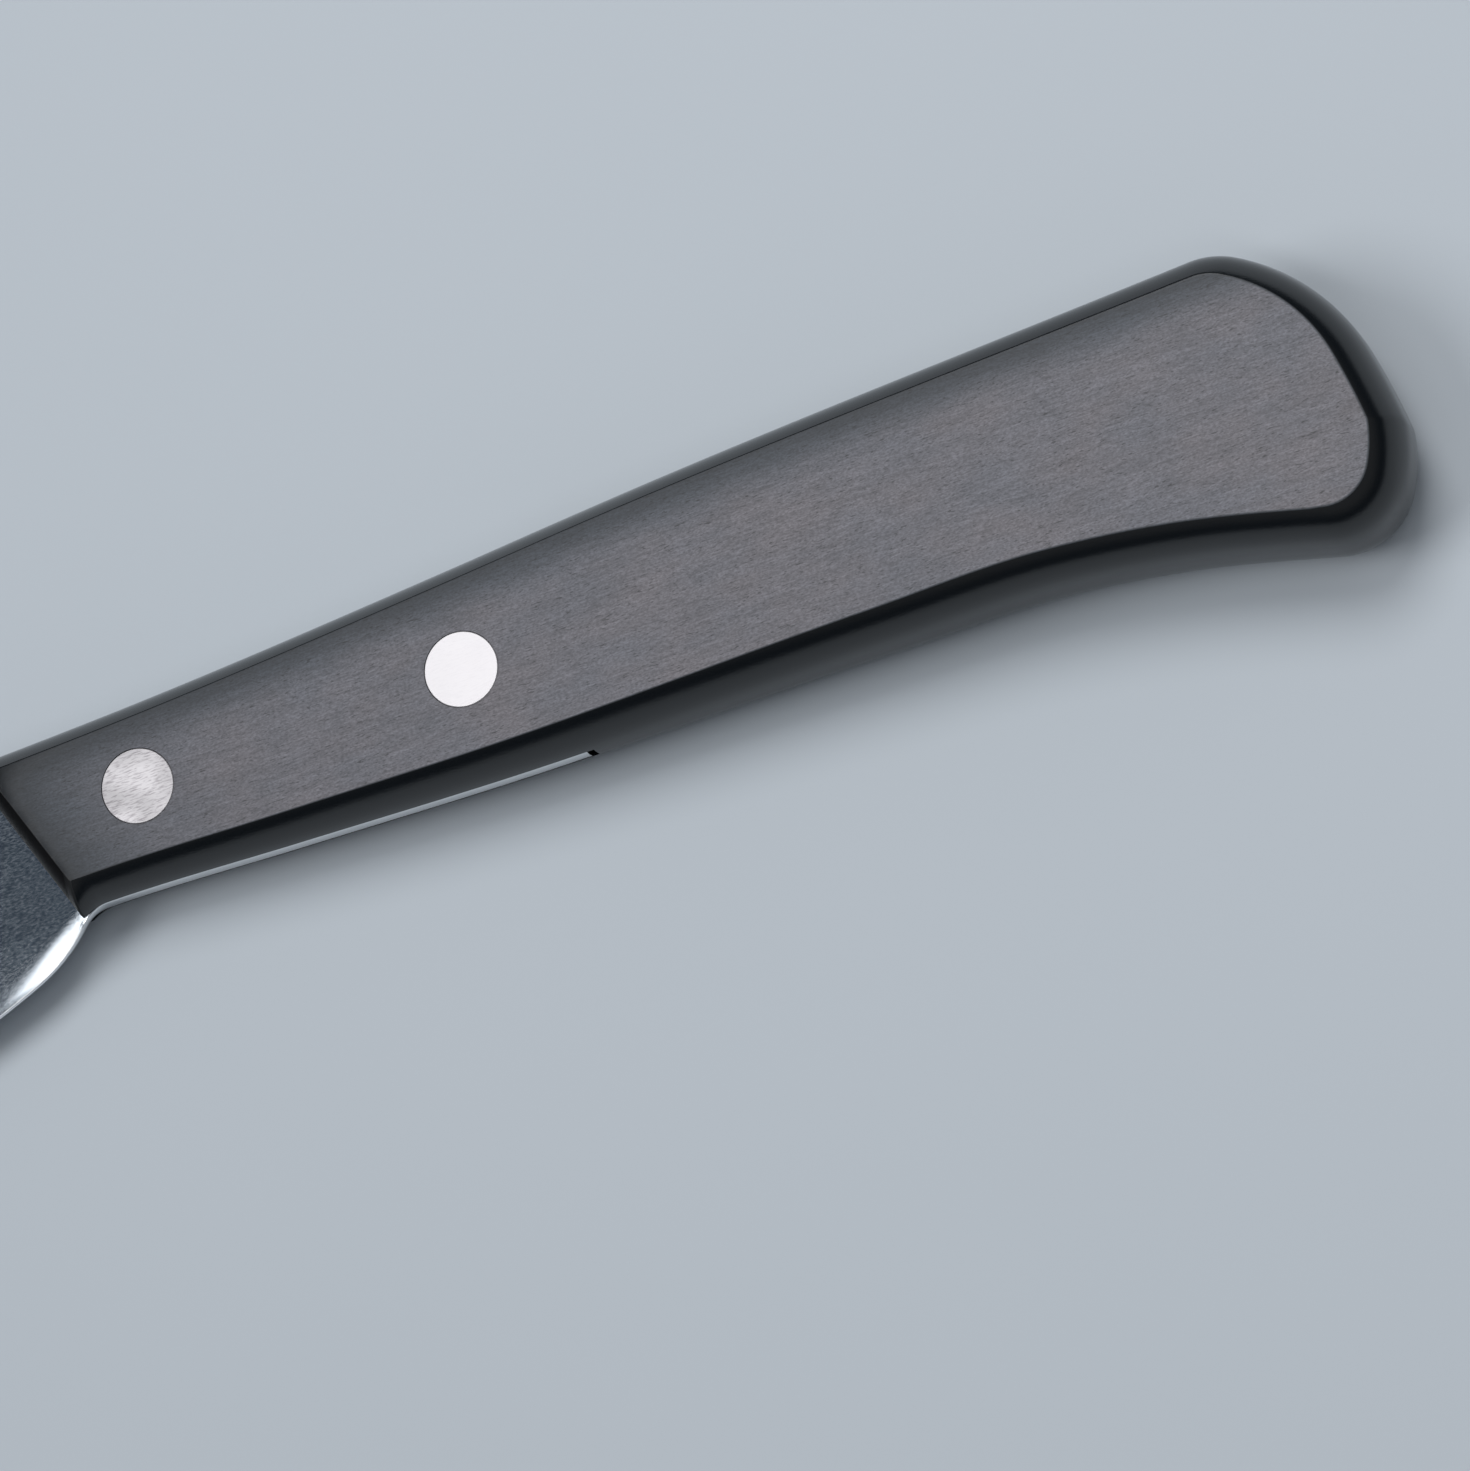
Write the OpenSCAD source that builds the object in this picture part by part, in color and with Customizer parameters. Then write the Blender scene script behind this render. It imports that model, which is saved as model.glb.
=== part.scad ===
// Cheese spreader: a steel blade whose half tang sits in a slot sawn into the front of a
// one-piece wooden handle, held by two flush two-piece rivets.
// It lies on the lower flat of the handle. X runs along the line of the two rivets, from the
// tip of the blade (-X) to the butt (+X), +Y is the spine side and -Y the spreading edge.
// The origin is on the lower flat, midway between the rivets. All sizes are in millimetres.

/* [Handle length and flats] */
// Reach of the handle from midway between the rivets to the end of the butt
butt_reach = 89.2; // [75:0.1:110]
// Reach from midway between the rivets to the front edge, on the rivet line
front_reach = 25.1; // [21:0.1:32]
// Lean of the front edge, towards the blade at the spine (degrees)
front_lean = 22.4; // [0:0.1:28]
// Thickness of the handle midway between the rivets
handle_thickness = 8.54; // [7:0.01:11]
// Angle between the two flats, which open towards the butt (degrees)
flats_angle = 1.96; // [0:0.01:3]

/* [Handle outline at mid-plane] */
// Height of the spine over the rivet line at the front edge
spine_front = 6.95; // [6:0.05:9]
// Height of the spine at the front rivet
spine_front_rivet = 7.35; // [6.5:0.05:9]
// Height of the spine at the rear rivet
spine_rear_rivet = 8.98; // [8:0.05:10.5]
// Place of the soft shoulder along the spine
shoulder_at = 26; // [20:0.5:36]
// Height of the spine at the shoulder
spine_shoulder = 9.85; // [8.5:0.05:11.5]
// Height of the spine where the butt starts to round
spine_butt = 11.95; // [10.5:0.05:14]
// Slope of the spine where the butt starts to round (degrees)
spine_slope = 2.3; // [1:0.1:4]
// Depth of the belly under the rivet line at the neck, ahead of the front rivet
belly_neck = 7.27; // [6.5:0.01:8]
// Depth of the belly at the rear rivet
belly_rear_rivet = 8.53; // [7.5:0.01:9.5]
// Place of the waist along the belly
waist_at = 46; // [36:0.5:52]
// Depth of the belly at the waist
belly_waist = 8.7; // [7.5:0.05:9.5]
// Place where the belly starts to flare out to the butt
flare_at = 60; // [56:0.5:64]
// Depth of the belly where the flare starts
belly_flare = 8.95; // [8:0.05:10]
// Share of the flare's fall that is reached halfway along it
flare_share = 0.36; // [0.3:0.01:0.42]
// Distance from the front edge back to where the belly starts to turn out into the heel
neck_inset = 2.35; // [1.5:0.05:3]

/* [Butt] */
// Radius of the butt's shoulder, where the spine turns down
butt_shoulder_radius = 6.5; // [5:0.1:9]
// Turn along the shoulder (degrees)
butt_shoulder_turn = 33.3; // [28:0.1:38]
// Radius of the butt's back
butt_back_radius = 16.1; // [13:0.1:20]
// Turn along the back (degrees)
butt_back_turn = 46; // [40:0.1:50]
// Radius of the lower back, which is nearly straight
butt_lower_radius = 61; // [40:1:90]
// Turn along the lower back (degrees)
butt_lower_turn = 5.8; // [3:0.1:8]
// Radius of the blunt corner low on the back, which is crisp at the flats
butt_corner_radius = 2.75; // [2.75:0.05:5]
// Turn at the blunt corner (degrees)
butt_corner_turn = 15.1; // [8:0.1:18]
// Radius of the heel of the butt, under the blunt corner
butt_heel_radius = 12.9; // [10:0.1:16]
// Turn along the heel of the butt (degrees)
butt_heel_turn = 19.1; // [15:0.1:23]
// Radius of the butt's hook, which turns into the belly
butt_hook_radius = 6; // [4.5:0.1:8]
// Slope of the belly where it meets the hook (degrees)
flare_slope = 15.3; // [10:0.1:20]

/* [Barrelled walls] */
// How far the wall bows out from the flat's edge to mid-plane, at the front
wall_bow_front = 1.8; // [1:0.05:2.4]
// How far the wall bows out from the flat's edge to mid-plane, at the butt
wall_bow_butt = 2.3; // [1:0.05:2.4]
// How far the front face bows out from the flat's edge to mid-plane
front_bow = 1.5; // [0.5:0.05:2.2]
// Fullness of the wall at the front: 2 is an even bow, more rounds over closer to the flats
wall_fullness_front = 2.2; // [2:0.05:3]
// Fullness of the wall at the butt, which grows from the shoulder on
wall_fullness_butt = 3.1; // [2:0.05:3.5]

/* [Blade and tang] */
// Thickness of the tang and of the blade at the handle
tang_thickness = 1.65; // [1.2:0.05:2.5]
// Thickness of the blade just behind the tip
tip_thickness = 0.9; // [0.7:0.05:1.2]
// Thickness of the spreading edge
edge_thickness = 0.5; // [0.3:0.05:0.7]
// Reach from midway between the rivets to the end of the tang, at the belly
tang_reach = 20.8; // [18:0.1:24]
// Reach from midway between the rivets to the tip of the blade
tip_reach = 112; // [98:0.5:135]
// Height of the tip over the rivet line
tip_height = -4; // [-6:0.1:-2]
// Length over which the spine rounds down to the tip
tip_round = 24; // [16:0.5:30]
// Fullness of the tip: 2 is an ellipse, more is blunter
tip_fullness = 2.3; // [2:0.1:3]
// Height of the blade's spine halfway along the blade
blade_spine = 6.5; // [5:0.05:8]
// Height that the line of the blade's spine has at the tip, before the tip is rounded
spine_tip = 5.15; // [4:0.05:7]
// Radius of the hollow where the belly turns into the heel
neck_radius = 3.2; // [2:0.1:4.5]
// Steepest slope of the heel (degrees)
heel_angle = 47; // [40:0.5:55]
// Radius of the heel
heel_radius = 13.5; // [10:0.1:18]
// Slope at which the heel runs into the long spreading edge (degrees)
edge_angle = 22; // [16:0.5:26]
// Radius of the first stretch of the spreading edge
edge_radius = 80; // [60:1:110]
// Width of the ground bevel along the edge
bevel_width = 10; // [6:0.1:11]
// Width of the bevel at the neck, where it starts
bevel_start = 0.5; // [0.2:0.05:0.8]
// How much the bevel widens for each millimetre ahead of the neck
bevel_spread = 0.55; // [0.3:0.01:0.8]
// Distance ahead of the neck over which the edge thins to about a third
edge_thinning = 1.8; // [1:0.1:3]

/* [Slot and rivets] */
// Radius of the saw that cuts the slot
saw_radius = 50; // [45:0.5:70]
// Gap between the end of the tang and the end of the slot, at the belly
slot_end_gap = 0.6; // [0.2:0.05:1.5]
// Gap between the tang and each side of the slot
slot_clearance = 0.03; // [0.01:0.01:0.1]
// Distance between the two rivets
rivet_spacing = 27.7; // [24:0.1:29]
// Diameter of the rivet heads
head_d = 6; // [5:0.1:7]
// Depth of the rivet heads under the flat
head_depth = 1.4; // [1:0.05:1.6]
// Outer diameter of the rivet sleeve
sleeve_d = 3.6; // [3.2:0.1:4.2]
// Diameter of the rivet pin
pin_d = 2.3; // [1.8:0.1:2.5]
// Gap round heads and sleeves in their holes
rivet_clearance = 0.04; // [0.02:0.01:0.1]
// Gap between the pin and the sleeve's bore
pin_clearance = 0.01; // [0.01:0.01:0.05]
// Gap left at the end of the sleeve and at the end of the pin
rivet_end_gap = 0.2; // [0.1:0.05:0.5]

/* [Hidden] */
$fn = 64;

steel_colour = "#aab0b7";
wood_colour = "#5c5a5e";
aluminium_colour = "#d9d7da";

front_rivet_at = -rivet_spacing / 2;
rear_rivet_at = rivet_spacing / 2;
tilt = flats_angle / 2;

// Rings from the lower flat to the upper one, and points along each stretch of the outline
WALL_RINGS = 18;
SPINE_STEPS = 30;
BELLY_STEPS = 34;
NECK_STEPS = 10;
// Turn between points along the butt (degrees), and the fewest steps in one of its arcs
BUTT_STEP = 4.5;
BUTT_LEAST_STEPS = 3;
// The rings run a little past both flats, which then cut them off
RING_OVERRUN = 1.03;
// Points across half of the bevel, and along each stretch of the blade
BEVEL_STEPS = 6;
TIP_STEPS = 18;
BLADE_STEPS = 16;
HEEL_STEPS = 30;
TANG_STEPS = 10;

// Smooth curve through knots [x, y]

// Slope at an inner knot, from its two neighbours weighted by nearness
function inner_slope(knots, i) =
    let (
        before = knots[i] - knots[i - 1],
        after = knots[i + 1] - knots[i]
    )
    (before.y / before.x * after.x + after.y / after.x * before.x) / (before.x + after.x);

// Knots [x, y, slope], with the slopes at both ends given
function with_slopes(knots, first, last) = [
    for (i = [0 : len(knots) - 1])
        [knots[i].x, knots[i].y, i == 0 ? first : i == len(knots) - 1 ? last : inner_slope(knots, i)]
];

function span_of(knots, x, i = 0) =
    i == len(knots) - 2 || x <= knots[i + 1].x ? i : span_of(knots, x, i + 1);

// Cubic from knot a to knot b, at the fraction u of the way
function cubic(a, b, u) =
    a.y * (1 + 2 * u) * (1 - u) ^ 2
    + b.y * u ^ 2 * (3 - 2 * u)
    + (b.x - a.x) * (a[2] * u * (1 - u) ^ 2 - b[2] * u ^ 2 * (1 - u));

// Height of the curve at x, straight on beyond its ends
function curve_at(knots, x) =
    let (
        first = knots[0],
        last = knots[len(knots) - 1],
        i = span_of(knots, x)
    )
    x <= first.x ? first.y + first[2] * (x - first.x)
    : x >= last.x ? last.y + last[2] * (x - last.x)
    : cubic(knots[i], knots[i + 1], (x - knots[i].x) / (knots[i + 1].x - knots[i].x));

// Butt: arcs from the spine round to the belly, each starting in the direction in which the last
// one ended. Radius and turn of each:
belly_heading = -180 - flare_slope;
turned_before_hook = butt_shoulder_turn + butt_back_turn + butt_lower_turn + butt_corner_turn + butt_heel_turn;
butt_bends = [
    [butt_shoulder_radius, butt_shoulder_turn],
    [butt_back_radius, butt_back_turn],
    [butt_lower_radius, butt_lower_turn],
    [butt_corner_radius, butt_corner_turn],
    [butt_heel_radius, butt_heel_turn],
    [butt_hook_radius, spine_slope - belly_heading - turned_before_hook],
];

// Clockwise arc of radius r from the point p, as points after p
function arc(p, r, heading, turn) =
    let (steps = max(BUTT_LEAST_STEPS, round(turn / BUTT_STEP)))
    [
        for (i = [1 : steps])
            let (h = heading - turn * i / steps)
            [p.x + r * (sin(heading) - sin(h)), p.y + r * (cos(h) - cos(heading))]
    ];

// Points of the butt's arcs after the point p, from the arc i on, drawn in by inset
function bend_points(p, inset, heading = spine_slope, i = 0) =
    i == len(butt_bends) ? []
    : let (points = arc(p, butt_bends[i][0] - inset, heading, butt_bends[i][1]))
        concat(points, bend_points(points[len(points) - 1], inset, heading - butt_bends[i][1], i + 1));

// The butt's outline, starting from the point p of the spine and drawn in by inset
function butt_arcs(p, inset) =
    let (start = p + inset * [sin(spine_slope), -cos(spine_slope)])
    concat([start], bend_points(start, inset));

// How far the butt reaches past the point where it starts to round
butt_round = max([for (p = butt_arcs([0, 0], 0)) p.x]);
butt_start = [butt_reach - butt_round, spine_butt];
butt_outline = butt_arcs(butt_start, 0);
flare_end = butt_outline[len(butt_outline) - 1];

// Handle outline

// Front edge at the height y, with the front face drawn in by inset
function front_x(y, inset) = -front_reach + inset / cos(front_lean) - y * tan(front_lean);

spine_front_at = front_x(spine_front, 0);
blade_spine_at = (spine_front_at - tip_reach) / 2;
spine_knots = with_slopes(
    [
        [-tip_reach, spine_tip],
        [blade_spine_at, blade_spine],
        [spine_front_at, spine_front],
        [front_rivet_at, spine_front_rivet],
        [rear_rivet_at, spine_rear_rivet],
        [shoulder_at, spine_shoulder],
        butt_start,
    ],
    (blade_spine - spine_tip) / (blade_spine_at + tip_reach),
    tan(spine_slope)
);
function spine_y(x) = curve_at(spine_knots, x);

neck_at = front_x(-belly_neck, 0) + neck_inset;
belly_knots = with_slopes(
    [
        [neck_at, -belly_neck],
        [(neck_at + rear_rivet_at) / 2, -(belly_neck + belly_rear_rivet) / 2],
        [rear_rivet_at, -belly_rear_rivet],
        [waist_at, -belly_waist],
        [flare_at, -belly_flare],
        [(flare_at + flare_end.x) / 2, -belly_flare + (flare_end.y + belly_flare) * flare_share],
        flare_end,
    ],
    0,
    -tan(flare_slope)
);
function belly_y(x) = curve_at(belly_knots, x);

// Heel: a hollow, the heel's own radius and the long spreading edge, each tangent to the next
hollow_end = [
    neck_at - neck_radius * sin(heel_angle),
    -belly_neck - neck_radius * (1 - cos(heel_angle)),
];
heel_end = [
    hollow_end.x - heel_radius * (sin(heel_angle) - sin(edge_angle)),
    hollow_end.y - heel_radius * (cos(edge_angle) - cos(heel_angle)),
];
lowest = [
    heel_end.x - edge_radius * sin(edge_angle),
    heel_end.y - edge_radius * (1 - cos(edge_angle)),
];
heel_centre = hollow_end + heel_radius * [-sin(heel_angle), cos(heel_angle)];

// Edge of the steel on the belly side, from the end of the tang to the tip
function edge_y(x) =
    x >= neck_at ? belly_y(x)
    : x >= hollow_end.x ? -belly_neck - neck_radius + sqrt(neck_radius ^ 2 - (neck_at - x) ^ 2)
    : x >= heel_end.x ? heel_centre.y - sqrt(heel_radius ^ 2 - (x - heel_centre.x) ^ 2)
    : x >= lowest.x ? lowest.y + edge_radius - sqrt(edge_radius ^ 2 - (x - lowest.x) ^ 2)
    : tip_height + (lowest.y - tip_height) * round_off((lowest.x - x) / (lowest.x + tip_reach));

// Edge of the steel on the spine side
function back_y(x) =
    let (start = tip_round - tip_reach)
    x >= start ? spine_y(x)
    : tip_height + (spine_y(x) - tip_height) * round_off((start - x) / tip_round);

// Quarter of a full ellipse, from 1 at u = 0 to 0 at u = 1
function round_off(u) = max(0, 1 - u ^ tip_fullness) ^ (1 / tip_fullness);

// Half the handle's thickness, which grows evenly towards the butt
function half_thickness(x) = handle_thickness / 2 + x * tan(tilt);

// Bow of the wall, which grows evenly to where the butt starts to round
function wall_bow(x) =
    wall_bow_front
    + (wall_bow_butt - wall_bow_front) * (min(x, butt_start.x) + front_reach) / (butt_start.x + front_reach);

// Fullness of the wall at x
function fullness(x) =
    let (u = (x - shoulder_at) / (butt_start.x - shoulder_at))
    wall_fullness_front + (wall_fullness_butt - wall_fullness_front) * max(0, min(1, u));

// Share of the bow that is lost at x, at the fraction f of the half thickness: none at mid-plane
function lost(x, f) = abs(f) ^ fullness(x);

// Edge lines of the section at the fraction f. The hollow at the neck is only at mid-plane: it dies
// out towards the flats.
function spine_line(x, f) = spine_y(x) - lost(x, f) * wall_bow(x);
function belly_line(x, f) =
    let (g = lost(x, f))
    edge_y(x) * max(0, 1 - g) + belly_y(x) * min(1, g) + g * wall_bow(x);
function front_line(y, f) = front_x(y, lost(-front_reach, f) * front_bow);

// Point where the front edge meets an edge line, by stepping to and fro between the two
function spine_corner(f, y = spine_front, steps = 12) =
    let (x = front_line(y, f))
    steps == 0 ? [x, y] : spine_corner(f, spine_line(x, f), steps - 1);
function belly_corner(f, y = -belly_neck, steps = 12) =
    let (x = front_line(y, f))
    steps == 0 ? [x, y] : belly_corner(f, (y + belly_line(x, f)) / 2, steps - 1);

// Outline of the handle's section at the fraction f, clockwise from the front of the spine
function outline(f) =
    let (
        front = spine_corner(f),
        last = belly_corner(f),
        butt = butt_arcs(butt_start, lost(butt_start.x, f) * wall_bow(butt_start.x)),
        end = butt[len(butt) - 1]
    )
    concat(
        [
            for (i = [0 : SPINE_STEPS - 1])
                let (x = front.x + (butt[0].x - front.x) * i / SPINE_STEPS)
                i == 0 ? front : [x, spine_line(x, f)]
        ],
        butt,
        [
            for (i = [1 : BELLY_STEPS])
                let (x = end.x + (neck_at - end.x) * i / BELLY_STEPS)
                [x, belly_line(x, f)]
        ],
        [
            for (i = [1 : NECK_STEPS])
                let (x = neck_at + (last.x - neck_at) * i / NECK_STEPS)
                i == NECK_STEPS ? last : [x, belly_line(x, f)]
        ]
    );

// Solid skinned over rings of points that all have the same count, closed by its end rings
module skin(rings) {
    count = len(rings[0]);
    side = [
        for (j = [0 : len(rings) - 2], i = [0 : count - 1], half = [0, 1])
            let (
                a = j * count + i,
                b = j * count + (i + 1) % count
            )
            half == 0 ? [a, b, b + count] : [a, b + count, a + count]
    ];
    first = [for (i = [count - 1 : -1 : 0]) i];
    last = [for (i = [0 : count - 1]) (len(rings) - 1) * count + i];
    polyhedron([for (ring = rings) each ring], concat(side, [first], [last]), convexity = 6);
}

// Barrel-walled body of the handle, before its flats are cut
module barrel() {
    skin([
        for (j = [0 : WALL_RINGS])
            let (f = RING_OVERRUN * (2 * j / WALL_RINGS - 1))
            [for (p = outline(f)) [p.x, p.y, f * half_thickness(p.x)]]
    ]);
}

// Space between the two flats, from front_end to back_end along X
module between_flats(front_end, back_end) {
    depth = 2 * butt_reach;
    rotate([90, 0, 0])
        linear_extrude(depth, center = true)
            polygon([
                [front_end, -half_thickness(front_end)],
                [back_end, -half_thickness(back_end)],
                [back_end, half_thickness(back_end)],
                [front_end, half_thickness(front_end)],
            ]);
}

// Turns the piece from its mid-plane so that the lower flat is level and the origin lies on it
module on_lower_flat() {
    h = half_thickness(0);
    translate([-h * sin(tilt), 0, h * cos(tilt)])
        rotate([0, -tilt, 0])
            children();
}

// Rivets

// Height of a head's seat over mid-plane, at the rivet's place
function seat(at) = half_thickness(at) - head_depth;

// How far the raw head stands past the flat before it is ground flush
head_spare = 1;

// Stepped hole through the handle for one rivet
module rivet_hole(at) {
    through = 2 * half_thickness(at) + 2 * head_spare;
    translate([at, 0, -through / 2])
        cylinder(d = sleeve_d + 2 * rivet_clearance, h = through);
    for (side = [0, 1])
        translate([at, 0, 0])
            mirror([0, 0, side])
                translate([0, 0, seat(at)])
                    cylinder(d = head_d + 2 * rivet_clearance, h = head_depth + head_spare);
}

// Head and tube, entered from the upper flat
module rivet_sleeve(at) {
    shank = 2 * seat(at) - rivet_end_gap;
    on_lower_flat()
        intersection() {
            difference() {
                translate([at, 0, seat(at)]) {
                    cylinder(d = head_d, h = head_depth + head_spare);
                    translate([0, 0, -shank])
                        cylinder(d = sleeve_d, h = shank);
                }
                translate([at, 0, -seat(at)])
                    cylinder(d = pin_d + 2 * pin_clearance, h = 2 * seat(at));
            }
            between_flats(at - head_d, at + head_d);
        }
}

// Head and pin, driven into the sleeve from the lower flat
module rivet_pin(at) {
    shank = 2 * seat(at) - rivet_end_gap;
    on_lower_flat()
        intersection() {
            translate([at, 0, -seat(at)]) {
                translate([0, 0, -head_depth - head_spare])
                    cylinder(d = head_d, h = head_depth + head_spare);
                cylinder(d = pin_d, h = shank);
            }
            between_flats(at - head_d, at + head_d);
        }
}

// Blade and tang

// Half thickness of the steel at x: even in the tang, thinning from the handle to the tip
function half_steel(x) =
    let (u = max(0, (spine_front_at - x) / (spine_front_at + tip_reach)))
    (tang_thickness + (tip_thickness - tang_thickness) * u) / 2;

// Half thickness of the edge at x
function half_edge(x) =
    let (ahead = max(0, neck_at - x))
    edge_thickness / 2 + (half_steel(x) - edge_thickness / 2) * exp(-ahead / edge_thinning);

// Width of the bevel at x, never more than BEVEL_MOST of the blade's height there
BEVEL_MOST = 0.45;
function bevel_at(x) =
    min(bevel_width, bevel_start + bevel_spread * max(0, neck_at - x), BEVEL_MOST * (back_y(x) - edge_y(x)));

// Section of the steel across X: flat faces, a convex bevel towards the edge, and crowned edges
// that stay flush with the handle's walls
function steel_section(x) =
    let (
        top = half_steel(x),
        low = half_edge(x),
        wide = bevel_at(x),
        crown = wall_bow(x) * lost(x, tang_thickness / 2 / half_thickness(front_rivet_at)),
        back = back_y(x),
        edge = edge_y(x),
        face = [
            for (i = [0 : BEVEL_STEPS])
                let (u = i / BEVEL_STEPS)
                [edge + crown + wide * (1 - u), top - (top - low) * u ^ 2]
        ]
    )
    concat(
        [[x, back, 0], [x, back - crown, -top]],
        [for (p = face) [x, p.x, -p.y]],
        [[x, edge, 0]],
        [for (i = [BEVEL_STEPS : -1 : 0]) [x, face[i].x, face[i].y]],
        [[x, back - crown, top]]
    );

// Stations of the sections, closest at the tip and along the heel. The tip ends in a tiny flat.
tip_flat = 0.02;
steel_stations = concat(
    [for (i = [0 : TIP_STEPS - 1]) tip_flat - tip_reach + tip_round * (1 - cos(90 * i / TIP_STEPS))],
    [for (i = [0 : BLADE_STEPS - 1])
        let (start = tip_round - tip_reach)
        start + (heel_end.x - heel_radius / 2 - start) * i / BLADE_STEPS],
    [for (i = [0 : HEEL_STEPS - 1])
        let (start = heel_end.x - heel_radius / 2)
        start + (neck_at + neck_radius / 2 - start) * i / HEEL_STEPS],
    [for (i = [0 : TANG_STEPS])
        let (start = neck_at + neck_radius / 2)
        start + (tang_reach - start) * i / TANG_STEPS]
);

module blade_with_tang() {
    color(steel_colour)
        on_lower_flat()
            difference() {
                skin([for (x = steel_stations) steel_section(x)]);
                for (at = [front_rivet_at, rear_rivet_at])
                    translate([at, 0, -tang_thickness])
                        cylinder(d = sleeve_d + 2 * rivet_clearance, h = 2 * tang_thickness);
            }
}

// Slot left by a circular saw run in from the front, so its end is an arc
module saw_slot() {
    end = tang_reach + slot_end_gap;
    thickness = tang_thickness + 2 * slot_clearance;
    translate([end - sqrt(saw_radius ^ 2 - belly_y(end) ^ 2), 0, -thickness / 2])
        cylinder(r = saw_radius, h = thickness);
}

module handle() {
    color(wood_colour)
        on_lower_flat()
            difference() {
                intersection() {
                    barrel();
                    between_flats(spine_front_at - butt_hook_radius, butt_reach + butt_hook_radius);
                }
                saw_slot();
                rivet_hole(front_rivet_at);
                rivet_hole(rear_rivet_at);
            }
}

module front_rivet_pin() { color(aluminium_colour) rivet_pin(front_rivet_at); }
module front_rivet_sleeve() { color(aluminium_colour) rivet_sleeve(front_rivet_at); }
module rear_rivet_pin() { color(aluminium_colour) rivet_pin(rear_rivet_at); }
module rear_rivet_sleeve() { color(aluminium_colour) rivet_sleeve(rear_rivet_at); }

blade_with_tang();
handle();
front_rivet_pin();
front_rivet_sleeve();
rear_rivet_pin();
rear_rivet_sleeve();
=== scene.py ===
import math

import bmesh
import bpy
import numpy as np
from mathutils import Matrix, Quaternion, Vector
from mathutils.geometry import delaunay_2d_cdt


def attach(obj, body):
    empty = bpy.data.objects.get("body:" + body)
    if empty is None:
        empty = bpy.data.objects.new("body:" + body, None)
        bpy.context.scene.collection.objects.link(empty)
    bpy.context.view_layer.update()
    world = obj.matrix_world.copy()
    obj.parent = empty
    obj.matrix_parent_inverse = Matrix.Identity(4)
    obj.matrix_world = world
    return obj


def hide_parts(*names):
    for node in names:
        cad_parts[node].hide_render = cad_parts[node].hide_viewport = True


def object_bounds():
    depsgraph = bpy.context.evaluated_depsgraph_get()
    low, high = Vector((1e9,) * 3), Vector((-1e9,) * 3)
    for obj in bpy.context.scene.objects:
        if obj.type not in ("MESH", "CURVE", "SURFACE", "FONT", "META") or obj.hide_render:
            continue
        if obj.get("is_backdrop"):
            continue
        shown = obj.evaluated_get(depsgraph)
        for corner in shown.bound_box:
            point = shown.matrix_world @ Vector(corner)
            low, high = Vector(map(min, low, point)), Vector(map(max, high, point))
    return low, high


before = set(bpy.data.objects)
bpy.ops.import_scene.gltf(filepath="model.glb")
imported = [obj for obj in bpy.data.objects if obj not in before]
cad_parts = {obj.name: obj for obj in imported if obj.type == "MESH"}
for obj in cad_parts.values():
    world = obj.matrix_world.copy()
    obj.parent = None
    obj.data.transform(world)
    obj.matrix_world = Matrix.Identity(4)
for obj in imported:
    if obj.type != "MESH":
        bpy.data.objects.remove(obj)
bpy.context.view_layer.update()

# Handle
# One piece of hardwood, stained black right through. Its two flats are sanded and open a little
# towards the butt, and its walls are barrelled and buffed. A saw cut in front takes the tang, and
# four stepped holes take the rivets. Sizes are in millimetres, from midway between the rivets.
butt_reach = 89.2
front_reach = 25.1
front_lean = math.radians(22.4)
front_bow = 1.5
middle_thickness = 8.54
flat_tilt = math.radians(1.96) / 2
wall_bow_front = 1.8
wall_bow_butt = 2.3
wall_fullness_front = 2.2
wall_fullness_butt = 3.1
shoulder_at = 26
rivet_spacing = 27.7
rivet_places = (-rivet_spacing / 2, rivet_spacing / 2)
# Two places on the spine of the blade and its slope at the tip: the handle's spine runs on from it
blade_spine = ((-112, 5.15), (-69.98, 6.5))
blade_spine_slope = 0.032
spine_front = 6.95
spine_front_rivet = 7.35
spine_rear_rivet = 8.98
spine_shoulder = 9.85
spine_butt = 11.95
spine_slope = math.radians(2.3)
flare_slope = math.radians(15.3)
butt_radii = (6.5, 16.1, 61, 2.75, 12.9, 6)
butt_turns = np.radians([33.3, 46, 5.8, 15.1, 19.1])
butt_turns = np.append(butt_turns, math.pi + flare_slope + spine_slope - butt_turns.sum())
belly_neck = 7.27
belly_rear_rivet = 8.53
belly_waist = (46, -8.7)
flare_at = 60
belly_flare = 8.95
flare_share = 0.36
neck_inset = 2.35
neck_radius = 3.2
tang_thickness = 1.65
tang_reach = 20.8
slot_clearance = 0.03
slot_end_gap = 0.6
saw_radius = 50
head_diameter = 6
head_depth = 1.4
sleeve_diameter = 3.6
rivet_clearance = 0.04
corner_round = 0.3
# The wall ends just under the flat, and the edge rounds over to where the wall would be a little above it
wall_end = 0.986
rim_level = 1.02
wall_rows = 26
round_rows = 5
bridge_rows = 7
slot_end_points = 14
rim_points = 72
flat_lattice = 1.0


def half_thickness(x):
    """Height of the flats over mid-plane, which grows evenly towards the butt."""
    return middle_thickness / 2 + x * math.tan(flat_tilt)


def front_x(y, inset):
    """Place of the leaning front edge at height y, with the front face drawn in by inset."""
    return -front_reach + inset / math.cos(front_lean) - y * math.tan(front_lean)


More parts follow.
